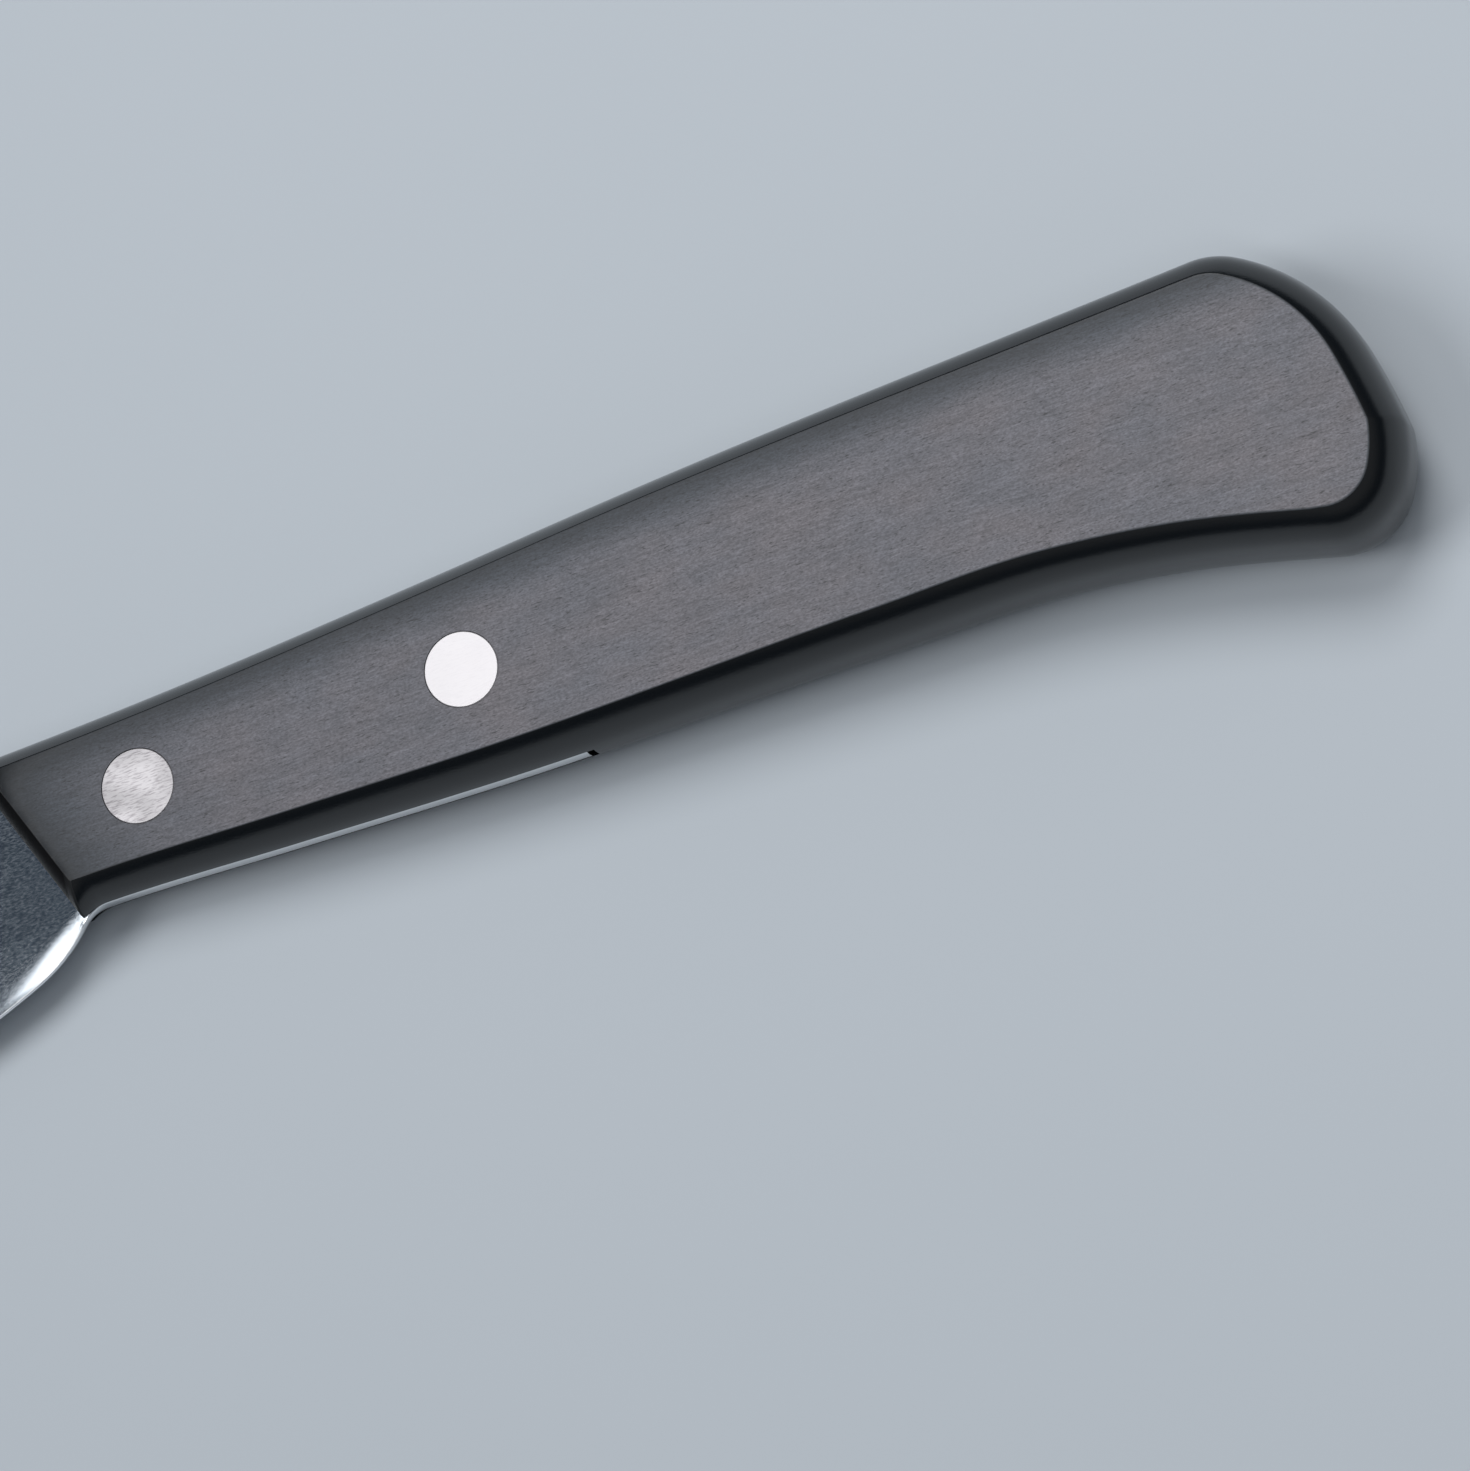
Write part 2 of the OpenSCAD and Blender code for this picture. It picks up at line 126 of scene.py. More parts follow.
def smooth_line(knots, first, last):
    """Height over x of a curve through knots (x, y): a cubic on each span, which meets its neighbours
    at the mean of both chords' slopes weighted by nearness, and a straight line of given slope beyond
    each end."""
    at, height = np.array(knots, float).T
    step = np.diff(at)
    chord = np.diff(height) / step
    inner = (chord[:-1] * step[1:] + chord[1:] * step[:-1]) / (step[:-1] + step[1:])
    slope = np.concatenate([[first], inner, [last]])

    def line(x):
        """Height of the curve at x."""
        i = np.clip(np.searchsorted(at, x) - 1, 0, len(step) - 1)
        u = (np.clip(x, at[0], at[-1]) - at[i]) / step[i]
        ends = height[i] * (1 + 2 * u) * (1 - u) ** 2 + height[i + 1] * u**2 * (3 - 2 * u)
        bends = step[i] * (slope[i] * u * (1 - u) ** 2 - slope[i + 1] * u**2 * (1 - u))
        return ends + bends + first * np.minimum(x - at[0], 0) + last * np.maximum(x - at[-1], 0)

    return line


butt_headings = spine_slope - np.concatenate([[0], np.cumsum(butt_turns)])


def butt_arc(k, t, inset):
    """Point at the fraction t of the butt's arc k, from where the butt starts to round: each arc leaves
    in the heading in which the last one ended, and drawing in by inset shrinks every radius by as much."""
    x = inset * math.sin(spine_slope)
    y = -inset * math.cos(spine_slope)
    for i in range(k + 1):
        start = butt_headings[i]
        end = butt_headings[i + 1] if i < k else start - butt_turns[k] * t
        x = x + (butt_radii[i] - inset) * (np.sin(start) - np.sin(end))
        y = y + (butt_radii[i] - inset) * (np.cos(end) - np.cos(start))
    return x, y


along_arc = np.linspace(0, 1, 50)
butt_round = max(butt_arc(k, along_arc, 0)[0].max() for k in range(len(butt_radii)))
butt_start = np.array([butt_reach - butt_round, spine_butt])
flare_end = butt_start + butt_arc(5, 1, 0)
flare_middle = -belly_flare + (flare_end[1] + belly_flare) * flare_share
neck_at = front_x(-belly_neck, 0) + neck_inset
spine_y = smooth_line(
    [
        *blade_spine,
        (front_x(spine_front, 0), spine_front),
        (rivet_places[0], spine_front_rivet),
        (rivet_places[1], spine_rear_rivet),
        (shoulder_at, spine_shoulder),
        butt_start,
    ],
    blade_spine_slope,
    math.tan(spine_slope),
)
belly_y = smooth_line(
    [
        (neck_at, -belly_neck),
        ((neck_at + rivet_places[1]) / 2, -(belly_neck + belly_rear_rivet) / 2),
        (rivet_places[1], -belly_rear_rivet),
        belly_waist,
        (flare_at, -belly_flare),
        ((flare_at + flare_end[0]) / 2, flare_middle),
        flare_end,
    ],
    0,
    -math.tan(flare_slope),
)


def hollow_y(x):
    """Belly with the hollow ahead of the neck, an arc that turns out into the heel."""
    ahead = np.clip(neck_at - x, 0, neck_radius)
    return belly_y(x) - neck_radius + np.sqrt(neck_radius**2 - ahead**2)


def wall_bow(x):
    """How far the wall stands out at mid-plane, growing evenly up to where the butt starts to round."""
    along = (np.minimum(x, butt_start[0]) + front_reach) / (butt_start[0] + front_reach)
    return wall_bow_front + (wall_bow_butt - wall_bow_front) * along


def lost(x, level):
    """Share of the bow that is lost at a level from -1 to 1: a power of the level, none at mid-plane,
    whose exponent grows from the shoulder to the butt."""
    along = np.clip((x - shoulder_at) / (butt_start[0] - shoulder_at), 0, 1)
    return np.abs(level) ** (wall_fullness_front + (wall_fullness_butt - wall_fullness_front) * along)


def spine_line(x, level):
    """Spine at a level, drawn in by the bow that is lost there."""
    return spine_y(x) - lost(x, level) * wall_bow(x)


def belly_line(x, level):
    """Belly at a level, drawn in by the bow that is lost there. The hollow is only at mid-plane and dies
    out towards the flats."""
    share = lost(x, level)
    middle = hollow_y(x) * np.maximum(0, 1 - share) + belly_y(x) * np.minimum(1, share)
    return middle + share * wall_bow(x)


def front_line(y, level):
    """Front edge at a level, drawn in as the walls are."""
    return front_x(y, lost(-front_reach, level) * front_bow)


def front_corners(level):
    """Upper and lower corner of the front edge, found by stepping to and fro between it and the lines
    of spine and belly."""
    corners = []
    steps_to_corner = 20
    for line, y in ((spine_line, spine_front), (belly_line, -belly_neck)):
        y = np.full_like(level, y)
        for _ in range(steps_to_corner):
            y = (y + line(front_line(y, level), level)) / 2
        corners.append(np.stack([front_line(y, level), y]))
    return corners


def rounded(before, corner, after, t):
    """Point at the fraction t of the parabola from before to after, tangent to both sides of the corner."""
    return before * (1 - t) ** 2 + 2 * corner * t * (1 - t) + after * t**2


def spine_corner(t, level):
    """Rounded corner from the front edge to the spine."""
    top, low = front_corners(level)
    before = top + (low - top) * corner_round / np.hypot(*(low - top))
    after_x = top[0] + corner_round
    return rounded(before, top, np.stack([after_x, spine_line(after_x, level)]), t)


def belly_corner(t, level):
    """Rounded corner from the hollow to the front edge."""
    top, low = front_corners(level)
    before_x = low[0] + corner_round
    after = low + (top - low) * corner_round / np.hypot(*(top - low))
    return rounded(np.stack([before_x, belly_line(before_x, level)]), low, after, t)


def front_edge(t, level):
    """Straight front edge, from one rounded corner to the other."""
    top, low = front_corners(level)
    step = (top - low) * corner_round / np.hypot(*(top - low))
    return low + step + (top - low - 2 * step) * t


def spine_at_slot(t, level):
    """Spine from the front corner to the end of the slot."""
    start = front_corners(level)[0][0] + corner_round
    x = start + (slot_end_spine - start) * t
    return x, spine_line(x, level)


def butt_inset(level):
    """How far the butt is drawn in at a level."""
    return lost(butt_start[0], level) * wall_bow(butt_start[0])


def spine_behind_slot(t, level):
    """Spine from the end of the slot to the butt."""
    end = butt_start[0] + butt_arc(0, 0, butt_inset(level))[0]
    x = slot_end_spine + (end - slot_end_spine) * t
    return x, spine_line(x, level)


def butt(k):
    """Arc k of the butt as a stretch of the outline."""

    def points(t, level):
        """Points at fractions t of the arc, at a level."""
        x, y = butt_arc(k, t, butt_inset(level))
        return butt_start[0] + x, butt_start[1] + y

    return points


def belly_behind_slot(t, level):
    """Belly from the butt to the end of the slot."""
    start = butt(5)(1, level)[0]
    x = start + (slot_end_belly - start) * t
    return x, belly_line(x, level)


def belly_at_slot(t, level):
    """Belly from the end of the slot to the neck."""
    x = slot_end_belly + (neck_at - slot_end_belly) * t + 0 * level
    return x, belly_line(x, level)


def hollow(t, level):
    """Hollow from the neck to the front corner."""
    end = front_corners(level)[1][0] + corner_round
    x = neck_at + (end - neck_at) * t
    return x, belly_line(x, level)


slot_end_belly = tang_reach + slot_end_gap
saw_centre = slot_end_belly - math.sqrt(saw_radius**2 - belly_y(slot_end_belly) ** 2)
slot_end_spine = saw_centre + math.sqrt(saw_radius**2 - spine_y(slot_end_belly) ** 2)
slot_half = tang_thickness / 2 + slot_clearance

# Stretches of the outline, clockwise from the front of the spine, with the points on each
stretches = (
    (spine_corner, 6),
    (spine_at_slot, 48),
    (spine_behind_slot, 58),
    (butt(0), 14),
    (butt(1), 26),
    (butt(2), 8),
    (butt(3), 8),
    (butt(4), 10),
    (butt(5), 28),
    (belly_behind_slot, 66),
    (belly_at_slot, 44),
    (hollow, 14),
    (belly_corner, 6),
    (front_edge, 16),
)
stretch_ends = np.cumsum([count for _, count in stretches])
columns = stretch_ends[-1]
end_of = {curve: end for (curve, _), end in zip(stretches, stretch_ends)}
spine_slot_column = end_of[spine_at_slot] - 1
belly_slot_column = end_of[belly_behind_slot] - 1


def outline(level):
    """Outline of the handle's section at a level: the stretches one after the other, each at even steps.
    Level is an array of rows of columns, and so are the x and y that come back."""
    split = np.split(np.broadcast_to(level, (len(level), columns)), stretch_ends[:-1], axis=1)
    made = [curve(np.arange(1, n + 1) / n, part) for (curve, n), part in zip(stretches, split)]
    whole = [[np.broadcast_to(m[i], s.shape) for m, s in zip(made, split)] for i in (0, 1)]
    return [np.concatenate(axis, 1) for axis in whole]


def ring(level):
    """Rows of points on the barrelled wall, at levels from -1 at the lower flat to 1 at the upper one."""
    x, y = outline(level)
    return np.stack([x, y, level * half_thickness(x)], -1)


def grid_faces(rows, count, closed=False):
    """Quads of a grid of points, row by row, joined round from the last column to the first if closed."""
    i = np.arange(count if closed else count - 1)
    a = (np.arange(rows - 1)[:, None] * count + i).ravel()
    b = (np.arange(rows - 1)[:, None] * count + (i + 1) % count).ravel()
    return np.stack([a, b, b + count, a + count], 1)


def circle(x, radius):
    """Points at even turns round a circle about a rivet's axis at x."""
    turn = 2 * np.pi * np.arange(rim_points) / rim_points
    return np.stack([x + radius * np.cos(turn), radius * np.sin(turn)], 1)


def inside(points, loop):
    """Which points lie inside a loop: a line from the point towards +X crosses the loop an odd number
    of times."""
    x, y = points[:, :1], points[:, 1:]
    (x1, y1), (x2, y2) = loop.T, np.roll(loop, -1, 0).T
    at = x1 + (x2 - x1) * (y - y1) / np.where(y1 == y2, 1, y2 - y1)
    crosses = ((y1 > y) != (y2 > y)) & (x < at)
    return crosses.sum(1) % 2 == 1


def clear_of(points, holes):
    """Which points are further from the centre of each round hole than its radius, less a hair."""
    hair = 0.001
    centres = np.array([hole.mean(0) for hole in holes])
    radii = np.array([np.hypot(*(hole[0] - hole.mean(0))) for hole in holes])
    return (np.hypot(*(points[:, None] - centres).T).T > (1 - hair) * radii).all(1)


def flat_face(loop, holes, lattice=0):
    """Triangles of a flat face inside a loop and outside its holes: a Delaunay net over their points,
    and over a square lattice of points between them if its step is given."""
    rims = np.concatenate([loop, *holes])
    inner = np.zeros((0, 2))
    if lattice:
        low, high = loop.min(0), loop.max(0)
        inner = np.mgrid[low[0] : high[0] : lattice, low[1] : high[1] : lattice].reshape(2, -1).T
        gap = np.hypot(*(inner[:, None] - rims).T).min(0)
        inner = inner[inside(inner, loop) & clear_of(inner, holes) & (gap > lattice / 2)]
    starts = np.cumsum([0] + [len(points) for points in (loop, *holes)])
    runs = [np.arange(a, b) for a, b in zip(starts, starts[1:])]
    joins = np.concatenate([np.stack([run, np.roll(run, -1)], 1) for run in runs])
    net_inside = 1
    same_point = 1e-7
    spread = np.concatenate([rims, inner]).tolist()
    made = delaunay_2d_cdt(spread, joins.tolist(), [], net_inside, same_point)
    points, triangles = np.array([tuple(point) for point in made[0]]), np.array(made[2])
    return points, triangles[clear_of(points[triangles].mean(1), holes)]


def mirrored(parts):
    """The parts and their mirror images below mid-plane."""
    return parts + [(points * (1, 1, -1), faces) for points, faces in parts]


# How much darker the flats are painted at the spine and in front, as painted shade where their sheen falls
# off, and how far in that fades
spine_painted_shade = 0.75
spine_fade = 2.1
front_painted_shade = 0.94
front_fade = 5


def grey_and_painted_shade(points):
    """How much of the sanded grey a flat shows, from 0 to 1: it is painted darker towards the spine and the
    front, as painted shade where the flat's sheen falls off, by a bell curve of the distance from the spine
    and an exponential of that from the front."""
    x, y = points[..., 0], points[..., 1]
    from_spine = np.maximum(0, spine_line(x, 1) - y)
    from_front = np.maximum(0, x - front_x(y, front_bow)) * math.cos(front_lean)
    # Painted shade: darker near the spine and towards the front
    by_spine = 1 - spine_painted_shade * np.exp(-((from_spine / spine_fade) ** 2))
    return by_spine * (1 - front_painted_shade * np.exp(-from_front / front_fade))


# Upper half of the wall, from the slot's edge to the rounded rim of the flat. Its rows lie closer
# together towards the flat.
slot_level = slot_half / half_thickness(ring(np.zeros((1, 1)))[0, :, 0])
rise = np.sin(np.linspace(0, math.pi / 2, wall_rows))[:, None]
wall = ring(slot_level + (wall_end - slot_level) * rise)
wall[0, :, 2] = slot_half
edge = ring(np.ones((1, 1)))[0]
rim_x, rim_y = outline(np.full((1, 1), rim_level))
rim = np.stack([rim_x[0], rim_y[0], half_thickness(rim_x[0])], -1)
round_over = np.linspace(0, 1, round_rows)[1:, None, None]
rounding = rounded(wall[-1], edge, rim, round_over)
upper_wall = np.concatenate([wall, rounding])
wall_grey = np.zeros(upper_wall.shape[:2])
wall_grey[len(wall) :] = grey_and_painted_shade(rim) * round_over[..., 0] ** 2

# Strip of wall behind the slot, between the two halves
behind_slot = slice(spine_slot_column, belly_slot_column + 1)
bridge = ring(slot_level * np.linspace(-1, 1, bridge_rows)[:, None])[:, behind_slot]
bridge[0, :, 2], bridge[-1, :, 2] = -slot_half, slot_half

# End of the slot, an arc as the round saw leaves it, and the loop round one side of the slot
arc_y = np.linspace(wall[0, spine_slot_column, 1], wall[0, belly_slot_column, 1], slot_end_points)
arc_x = saw_centre + np.sqrt(saw_radius**2 - arc_y**2)
arc_x[0], arc_x[-1] = wall[0, spine_slot_column, 0], wall[0, belly_slot_column, 0]
from_belly = np.roll(wall[0, :, :2], -belly_slot_column, 0)
round_front = from_belly[: spine_slot_column - belly_slot_column + 1 + columns]
slot_loop = np.concatenate([round_front, np.stack([arc_x, arc_y], 1)[1:-1]])
slot_end = np.stack(np.broadcast_arrays(arc_x, arc_y, bridge[:, :1, 2]), -1)
slot_end[:, 0], slot_end[:, -1] = bridge[:, 0], bridge[:, -1]

# Flats with holes for the heads, and sides of the slot with holes for the sleeves
head_hole = head_diameter / 2 + rivet_clearance
sleeve_hole = sleeve_diameter / 2 + rivet_clearance
head_rims = [circle(x, head_hole) for x in rivet_places]
sleeve_rims = [circle(x, sleeve_hole) for x in rivet_places]
flat_xy, flat_triangles = flat_face(rim[:, :2], head_rims, flat_lattice)
flat = np.column_stack([flat_xy, half_thickness(flat_xy[:, 0])])
side_xy, side_triangles = flat_face(slot_loop, sleeve_rims)
side = np.column_stack([side_xy, np.full(len(side_xy), slot_half)])


def stepped_hole(x):
    """Wall of one rivet hole: a line carried round the rivet's axis, down from the flat, in over the seat
    of the head, and on down to the slot."""
    top, low = circle(x, head_hole), circle(x, sleeve_hole)
    seat = half_thickness(x) - head_depth
    level = np.ones(len(top))
    heights = (half_thickness(top[:, 0]), seat * level, seat * level, slot_half * level)
    rows = np.stack([np.column_stack([xy, z]) for xy, z in zip((top, top, low, low), heights)])
    return rows.reshape(-1, 3), grid_faces(len(rows), len(top), closed=True)


rivet_holes = [stepped_hole(x) for x in rivet_places]
handle_parts = mirrored([
    (upper_wall.reshape(-1, 3), grid_faces(len(upper_wall), columns, closed=True)),
    (flat, flat_triangles),
    (side, side_triangles),
    *rivet_holes,
])
handle_parts += [
    (bridge.reshape(-1, 3), grid_faces(*bridge.shape[:2])),
    (slot_end.reshape(-1, 3), grid_faces(*slot_end.shape[:2])),
]

# Sanded grey lies on the flats, on the rims of their holes and, fading, on the rounded edge. Towards the
# spine and the front it is painted darker, as painted shade. End grain is on the front face and fades on
# the rounded edge.
hole_grey = [grey_and_painted_shade(points) * (np.arange(len(points)) < rim_points) for points, _ in rivet_holes]
half_grey = [wall_grey.ravel(), grey_and_painted_shade(flat), np.zeros(len(side)), *hole_grey]
in_slot = [np.zeros(len(points)) for points, _ in handle_parts[-2:]]
handle_grey = np.concatenate(half_grey * 2 + in_slot)
front_ends = [0, end_of[spine_corner], end_of[hollow], end_of[belly_corner]]
end_columns = np.interp(np.arange(columns), front_ends, [1, 0, 0, 1])
end_fade = np.append(np.ones(len(wall)), 1 - round_over.ravel() ** 2)
half_end = [np.outer(end_fade, end_columns).ravel()]
half_end += [0 * values for values in half_grey[1:]]
handle_end = np.concatenate(half_end * 2 + in_slot)

mm = 0.001


def on_lower_flat(points):
    """Turns points from mid-plane so that the lower flat is level and the origin lies on it, in metres."""
    x, y, z = points.T
    c, s = math.cos(flat_tilt), math.sin(flat_tilt)
    h = half_thickness(0)
    return np.stack([x * c - z * s - h * s, y, x * s + z * c + h * c], 1) * mm


def add_piece(name, parts, material, attributes):
    """One closed mesh from parts of points and faces: points that meet are made one, faces are turned
    outwards, and all is smooth but for sharp edges, with big faces ruling the normals. An attribute gives
    each point a value that the material reads."""
    weld = 2e-7
    sharp = math.radians(30)
    starts = np.cumsum([0] + [len(points) for points, _ in parts])
    points = on_lower_flat(np.concatenate([p for p, _ in parts]))
    faces = [f for s, (_, fs) in zip(starts, parts) for f in (fs + s).tolist()]
    mesh = bpy.data.meshes.new(name)
    mesh.from_pydata(points.tolist(), [], faces)
    for label, values in attributes:
        mesh.attributes.new(label, "FLOAT", "POINT").data.foreach_set("value", values.astype(np.float32))
    shape = bmesh.new()
    shape.from_mesh(mesh)
    bmesh.ops.remove_doubles(shape, verts=shape.verts, dist=weld)
    bmesh.ops.recalc_face_normals(shape, faces=shape.faces)
    shape.to_mesh(mesh)
    shape.free()
    mesh.shade_smooth()
    mesh.set_sharp_from_angle(angle=sharp)
    mesh.materials.append(material)
    piece = bpy.data.objects.new(name, mesh)
    bpy.context.scene.collection.objects.link(piece)
    even = piece.modifiers.new("even_normals", "WEIGHTED_NORMAL")
    even.keep_sharp = True
    even.weight = 100
    return piece


def add_node(tree, kind, inputs, **settings):
    """Adds a shader node with its settings and fills its inputs: an output is linked, a value is set."""
    node = tree.nodes.new("ShaderNode" + kind)
    for name, value in settings.items():
        setattr(node, name, value)
    for name, value in inputs.items():
        if isinstance(value, bpy.types.NodeSocket):
            tree.links.new(value, node.inputs[name])
        else:
            node.inputs[name].default_value = value
    return node


def linear(colour):
    """Linear red, green, blue and alpha of an sRGB hex colour, by the sRGB curve."""
    c = np.array([int(colour[i : i + 2], 16) for i in (1, 3, 5)]) / 255
    return (*np.where(c <= 0.04045, c / 12.92, ((c + 0.055) / 1.055) ** 2.4), 1)


def new_material(name):
    """Material of that name and its empty node tree."""
    material = bpy.data.materials.new(name)
    material.use_nodes = True
    material.node_tree.nodes.clear()
    return material, material.node_tree


# Black-stained hardwood: the sanded flats scatter light and look grey, speckled and mottled warm and
# cool, with short open pores along the grain. Towards the spine and the front the flats are painted
# darker and cooler, as painted shade where their sheen falls off. The buffed walls are near black and
# shine softly, and the end grain in front is dull.
stained_wood, tree = new_material("black_stained_hardwood")
place = add_node(tree, "TexCoord", {}).outputs["Object"]

# Each pattern of the grain is a noise whose spots have a length along the handle and a width across it,
# in millimetres. The finest are drawn coarser than the real ones, so that they show.
grain = {}
for pattern, length, width, detail in (
    ("specks", 0.234, 0.13, 1),
    ("pores", 0.6, 0.12, 1),
    ("threads", 1.3, 0.13, 1),
    ("fibres", 6, 0.4, 2),
    ("mottle", 9, 5, 2),
):
    stretched = add_node(tree, "Mapping", {
        "Vector": place, "Scale": (1 / (length * mm), 1 / (width * mm), 1 / (width * mm)),
    }).outputs["Vector"]
    grain[pattern] = add_node(tree, "TexNoise", {
        "Vector": stretched, "Scale": 1, "Detail": detail, "Roughness": 0.6,
    }).outputs["Fac"]
# The grey is painted darker towards the spine and the front, as painted shade
grey = add_node(tree, "Attribute", {}, attribute_name="grey_and_painted_shade").outputs["Fac"]
end_grain = add_node(tree, "Attribute", {}, attribute_name="end_grain").outputs["Fac"]
patches = add_node(tree, "MapRange", {
    "Value": grain["mottle"], "From Min": 0.35, "From Max": 0.65, "To Min": 0.72, "To Max": 1,
}).outputs["Result"]
warmth_and_painted_shade = add_node(tree, "Math", {0: patches, 1: grey}, operation="MULTIPLY").outputs["Value"]
# Towards the spine and the front the flat turns to the cool colour, a painted shade of its falling sheen
flat_colour = add_node(tree, "MixRGB", {
    "Fac": warmth_and_painted_shade, "Color1": linear("#4d5966"), "Color2": linear("#676469"),
}).outputs["Color"]
for pattern, low, high, dark, light in (
    ("specks", 0.35, 0.65, 0.78, 1.22),
    ("threads", 0.35, 0.65, 0.88, 1.13),
    ("fibres", 0.35, 0.65, 0.9, 1.1),
    ("pores", 0.29, 0.37, 0.42, 1.02),
):
    tone = add_node(tree, "MapRange", {
        "Value": grain[pattern], "From Min": low, "From Max": high, "To Min": dark, "To Max": light,
    }).outputs["Result"]
    flat_colour = add_node(tree, "MixRGB", {
        "Fac": 1, "Color1": flat_colour, "Color2": tone,
    }, blend_type="MULTIPLY").outputs["Color"]
wall_colour = add_node(tree, "MixRGB", {
    "Fac": end_grain, "Color1": linear("#07090b"), "Color2": linear("#0e0e0f"),
}).outputs["Color"]
wood_colour = add_node(tree, "MixRGB", {
    "Fac": grey, "Color1": wall_colour, "Color2": flat_colour,
}).outputs["Color"]
dull = add_node(tree, "Math", {0: grey, 1: end_grain}, operation="MAXIMUM").outputs["Value"]
shine = add_node(tree, "MapRange", {
    "Value": dull, "From Max": 0.25, "To Min": 0.18, "To Max": 0.6,
}).outputs["Result"]
gloss = add_node(tree, "MapRange", {"Value": end_grain, "To Min": 0.5, "To Max": 0.01}).outputs["Result"]
relief = add_node(tree, "Bump", {
    "Height": grain["pores"], "Strength": 0.2, "Distance": 0.02 * mm,
}).outputs["Normal"]
wood_surface = add_node(tree, "BsdfPrincipled", {
    "Base Color": wood_colour, "Roughness": shine, "IOR": 1.6, "Specular IOR Level": gloss,
    "Normal": relief,
})
add_node(tree, "OutputMaterial", {"Surface": wood_surface.outputs["BSDF"]})

handle_looks = [("grey_and_painted_shade", handle_grey), ("end_grain", handle_end)]
handle = add_piece("spreader_handle", handle_parts, stained_wood, handle_looks)
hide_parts("handle")
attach(handle, "root")

# Blade with tang
# Stamped from one sheet of stainless steel, with flat faces ground bright, a convex bevel down to the
# spreading edge, and a half tang that fills the handle's slot and is ground flush with its walls.
tip_reach = 112
tip_height = -4
tip_round = 24
tip_fullness = 2.3
tip_flat = 0.02
tip_thickness = 0.9
edge_thickness = 0.5
edge_thinning = 1.8
heel_angle = math.radians(47)
heel_radius = 13.5
edge_angle = math.radians(22)
edge_radius = 80
bevel_width = 10
bevel_start = 0.5
bevel_spread = 0.55
bevel_most = 0.45
arris_round = 0.14
arris_most = 0.3
arris_steps = 5
bevel_steps = 15
tip_rows = 40
blade_rows = 50
heel_rows = 110
tang_rows = 40
half_tang = tang_thickness / 2
spine_front_at = front_x(spine_front, 0)
hollow_end = np.array([neck_at - neck_radius * math.sin(heel_angle),
                       -belly_neck - neck_radius * (1 - math.cos(heel_angle))])
heel_end = hollow_end - heel_radius * np.array([math.sin(heel_angle) - math.sin(edge_angle),
                                                math.cos(edge_angle) - math.cos(heel_angle)])
lowest = heel_end - edge_radius * np.array([math.sin(edge_angle), 1 - math.cos(edge_angle)])
heel_centre = hollow_end + heel_radius * np.array([-math.sin(heel_angle), math.cos(heel_angle)])


def round_off(u):
    """Quarter of a full ellipse, from 1 at u = 0 to 0 at u = 1."""
    return np.maximum(0, 1 - np.clip(u, 0, 1) ** tip_fullness) ** (1 / tip_fullness)


def edge_y(x):
    """Spreading edge: the belly along the tang, then a hollow arc, the heel's arc and a long arc, each
    tangent to the next, and a round to the tip."""
    heel = heel_centre[1] - np.sqrt(np.maximum(0, heel_radius**2 - (x - heel_centre[0]) ** 2))
    long = lowest[1] + edge_radius - np.sqrt(edge_radius**2 - (x - lowest[0]) ** 2)
    tip = tip_height + (lowest[1] - tip_height) * round_off((lowest[0] - x) / (lowest[0] + tip_reach))
    reached = [x >= hollow_end[0], x >= heel_end[0], x >= lowest[0]]
    return np.select(reached, [hollow_y(x), heel, long], tip)


def back_y(x):
    """Spine of the blade, in one line with the handle's, with a round to the tip."""
    return tip_height + (spine_y(x) - tip_height) * round_off((tip_round - tip_reach - x) / tip_round)


def steel_section(x):
    """Upper half of the steel's section at each x, from mid-plane at the spine over the flat face and the
    bevel to mid-plane at the edge. The bevel is a parabola, the edges are crowned to stay flush with the
    handle, and each arris is a small parabola."""
    x = x[:, None]
    thinner = np.maximum(0, (spine_front_at - x) / (spine_front_at + tip_reach))
    top = (tang_thickness + (tip_thickness - tang_thickness) * thinner) / 2
    ahead = np.maximum(0, neck_at - x)
    low = edge_thickness / 2 + (top - edge_thickness / 2) * np.exp(-ahead / edge_thinning)
    back, edge = back_y(x), edge_y(x)
    wide = np.minimum(bevel_width, bevel_start + bevel_spread * ahead)
    wide = np.minimum(wide, bevel_most * (back - edge))
    crown = wall_bow(x) * lost(x, half_tang / half_thickness(rivet_places[0]))
    small = np.minimum(arris_round, arris_most * np.minimum(low, (back - edge) / 4))
    t = np.linspace(0, 1, arris_steps)
    back_y_part = rounded(back - crown, back - crown, back - crown - small, t)
    back_z_part = rounded(top - small, top, top, t)
    u = np.linspace(0, 1, bevel_steps)
    bevel_y = edge + crown + small + wide * (1 - u)
    bevel_z = top - (top - low) * u**2
    edge_y_part = rounded(edge + crown + small, edge + crown, edge + crown, t[1:])
    edge_z_part = rounded(low, low, low - small, t[1:])
    y = np.concatenate([back, back_y_part, bevel_y, edge_y_part, edge], 1)
    z = np.concatenate([0 * top, back_z_part, bevel_z, edge_z_part, 0 * top], 1)
    return np.stack([np.broadcast_to(x, y.shape), y, z], -1)


